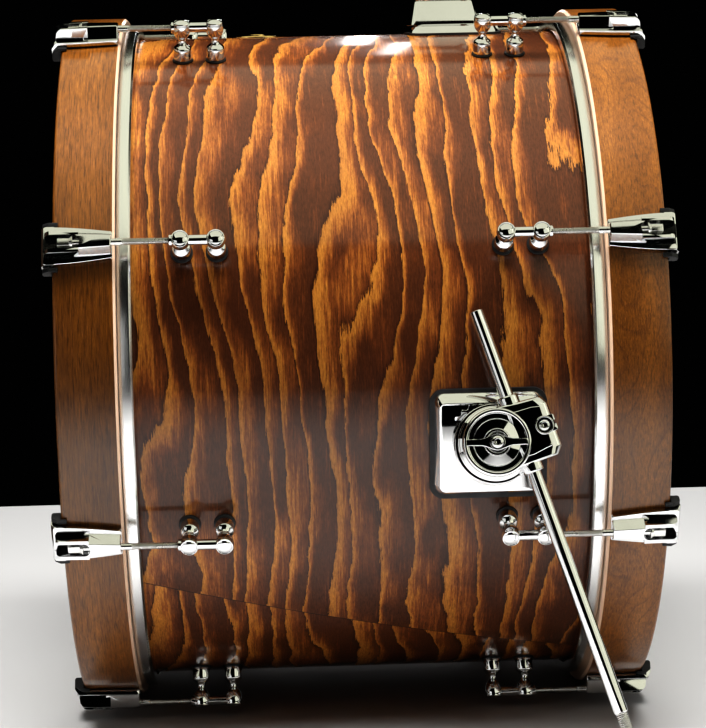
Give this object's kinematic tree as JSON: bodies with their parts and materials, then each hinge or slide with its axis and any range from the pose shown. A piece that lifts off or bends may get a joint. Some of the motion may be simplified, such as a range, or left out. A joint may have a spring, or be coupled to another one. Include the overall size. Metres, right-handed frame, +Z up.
{
  "type": "bass drum",
  "caption": "Kick drum lying on its side, wood veneer shell, wooden hoops held by claw hooks and tension rods into tube lugs, folding spurs and a tom holder base.",
  "frame": {"origin": "on the floor, under the middle of the shell", "axes": "+X along the drum's axis towards the front (resonant) head, +Z up; the batter side is -X"},
  "size_m": [0.492, 0.7478, 0.6294],
  "materials": {
    "veneer": "satin lacquer over brown stained figured veneer",
    "hoop_wood": "satin lacquer over brown stained maple",
    "drumhead": "coated film",
    "chrome": "polished",
    "plated_steel": "bright plated",
    "flesh_hoop": "satin",
    "black_rubber": "matte",
    "brass": "satin"
  },
  "bodies": {
    "drum": {"batter_head": "drumhead", "batter_hoop": "hoop_wood", "claw_batter_1": "chrome", "claw_batter_2": "chrome", "claw_batter_3": "chrome", "claw_batter_4": "chrome", "claw_batter_5": "chrome", "claw_batter_6": "chrome", "claw_batter_7": "chrome", "claw_batter_8": "chrome", "claw_front_1": "chrome", "claw_front_2": "chrome", "claw_front_3": "chrome", "claw_front_4": "chrome", "claw_front_5": "chrome", "claw_front_6": "chrome", "claw_front_7": "chrome", "claw_front_8": "chrome", "lug_batter_1": "chrome", "lug_batter_2": "chrome", "lug_batter_3": "chrome", "lug_batter_4": "chrome", "lug_batter_5": "chrome", "lug_batter_6": "chrome", "lug_batter_7": "chrome", "lug_batter_8": "chrome", "lug_front_1": "chrome", "lug_front_2": "chrome", "lug_front_3": "chrome", "lug_front_4": "chrome", "lug_front_5": "chrome", "lug_front_6": "chrome", "lug_front_7": "chrome", "lug_front_8": "chrome", "resonant_head": "drumhead", "resonant_hoop": "hoop_wood", "shell": "veneer", "spur_base_far": "chrome", "spur_base_near": "chrome", "tom_mount": "chrome"},
    "spur_clamp_far": {"spur_clamp_far": "chrome"},
    "spur_clamp_near": {"spur_clamp_near": "chrome"},
    "spur_leg_far": {"spur_leg_far": "chrome"},
    "spur_leg_near": {"spur_leg_near": "chrome"},
    "rod_batter_1": {"tension_rod_batter_1": "plated_steel"},
    "rod_batter_2": {"tension_rod_batter_2": "plated_steel"},
    "rod_batter_3": {"tension_rod_batter_3": "plated_steel"},
    "rod_batter_4": {"tension_rod_batter_4": "plated_steel"},
    "rod_batter_5": {"tension_rod_batter_5": "plated_steel"},
    "rod_batter_6": {"tension_rod_batter_6": "plated_steel"},
    "rod_batter_7": {"tension_rod_batter_7": "plated_steel"},
    "rod_batter_8": {"tension_rod_batter_8": "plated_steel"},
    "rod_front_1": {"tension_rod_front_1": "plated_steel"},
    "rod_front_2": {"tension_rod_front_2": "plated_steel"},
    "rod_front_3": {"tension_rod_front_3": "plated_steel"},
    "rod_front_4": {"tension_rod_front_4": "plated_steel"},
    "rod_front_5": {"tension_rod_front_5": "plated_steel"},
    "rod_front_6": {"tension_rod_front_6": "plated_steel"},
    "rod_front_7": {"tension_rod_front_7": "plated_steel"},
    "rod_front_8": {"tension_rod_front_8": "plated_steel"}
  },
  "joints": [
    {"name": "spur_swing_near", "type": "hinge", "parent": "drum", "child": "spur_clamp_near", "pos_m": [0.0993, -0.3069, 0.25619], "axis": [0, 0.9781, -0.2079], "range_deg": [-45, 48]},
    {"name": "spur_leg_slide_near", "type": "slide", "parent": "spur_clamp_near", "child": "spur_leg_near", "axis": [0.3074, -0.1978, -0.9308], "range_m": [-0.1, 0.045]},
    {"name": "spur_swing_far", "type": "hinge", "parent": "drum", "child": "spur_clamp_far", "pos_m": [0.0993, 0.3069, 0.25619], "axis": [0, 0.9781, 0.2079], "range_deg": [-45, 48]},
    {"name": "spur_leg_slide_far", "type": "slide", "parent": "spur_clamp_far", "child": "spur_leg_far", "axis": [0.3074, 0.1978, -0.9308], "range_m": [-0.1, 0.045]},
    {"name": "tension_rod_turn_batter_1", "type": "hinge", "parent": "drum", "child": "rod_batter_1", "pos_m": [-0.2206, 0.28539, 0.41621], "axis": [-1, 0, 0], "continuous": true},
    {"name": "tension_rod_turn_batter_2", "type": "hinge", "parent": "drum", "child": "rod_batter_2", "pos_m": [-0.2206, 0.11821, 0.58339], "axis": [-1, 0, 0], "continuous": true},
    {"name": "tension_rod_turn_batter_3", "type": "hinge", "parent": "drum", "child": "rod_batter_3", "pos_m": [-0.2206, -0.11821, 0.58339], "axis": [-1, 0, 0], "continuous": true},
    {"name": "tension_rod_turn_batter_4", "type": "hinge", "parent": "drum", "child": "rod_batter_4", "pos_m": [-0.2206, -0.28539, 0.41621], "axis": [-1, 0, 0], "continuous": true},
    {"name": "tension_rod_turn_batter_5", "type": "hinge", "parent": "drum", "child": "rod_batter_5", "pos_m": [-0.2206, -0.28539, 0.17979], "axis": [-1, 0, 0], "continuous": true},
    {"name": "tension_rod_turn_batter_6", "type": "hinge", "parent": "drum", "child": "rod_batter_6", "pos_m": [-0.2206, -0.11821, 0.01261], "axis": [-1, 0, 0], "continuous": true},
    {"name": "tension_rod_turn_batter_7", "type": "hinge", "parent": "drum", "child": "rod_batter_7", "pos_m": [-0.2206, 0.11821, 0.01261], "axis": [-1, 0, 0], "continuous": true},
    {"name": "tension_rod_turn_batter_8", "type": "hinge", "parent": "drum", "child": "rod_batter_8", "pos_m": [-0.2206, 0.28539, 0.17979], "axis": [-1, 0, 0], "continuous": true},
    {"name": "tension_rod_turn_front_1", "type": "hinge", "parent": "drum", "child": "rod_front_1", "pos_m": [0.2206, 0.28539, 0.41621], "axis": [1, 0, 0], "continuous": true},
    {"name": "tension_rod_turn_front_2", "type": "hinge", "parent": "drum", "child": "rod_front_2", "pos_m": [0.2206, 0.11821, 0.58339], "axis": [1, 0, 0], "continuous": true},
    {"name": "tension_rod_turn_front_3", "type": "hinge", "parent": "drum", "child": "rod_front_3", "pos_m": [0.2206, -0.11821, 0.58339], "axis": [1, 0, 0], "continuous": true},
    {"name": "tension_rod_turn_front_4", "type": "hinge", "parent": "drum", "child": "rod_front_4", "pos_m": [0.2206, -0.28539, 0.41621], "axis": [1, 0, 0], "continuous": true},
    {"name": "tension_rod_turn_front_5", "type": "hinge", "parent": "drum", "child": "rod_front_5", "pos_m": [0.2206, -0.28539, 0.17979], "axis": [1, 0, 0], "continuous": true},
    {"name": "tension_rod_turn_front_6", "type": "hinge", "parent": "drum", "child": "rod_front_6", "pos_m": [0.2206, -0.11821, 0.01261], "axis": [1, 0, 0], "continuous": true},
    {"name": "tension_rod_turn_front_7", "type": "hinge", "parent": "drum", "child": "rod_front_7", "pos_m": [0.2206, 0.11821, 0.01261], "axis": [1, 0, 0], "continuous": true},
    {"name": "tension_rod_turn_front_8", "type": "hinge", "parent": "drum", "child": "rod_front_8", "pos_m": [0.2206, 0.28539, 0.17979], "axis": [1, 0, 0], "continuous": true}
  ]
}
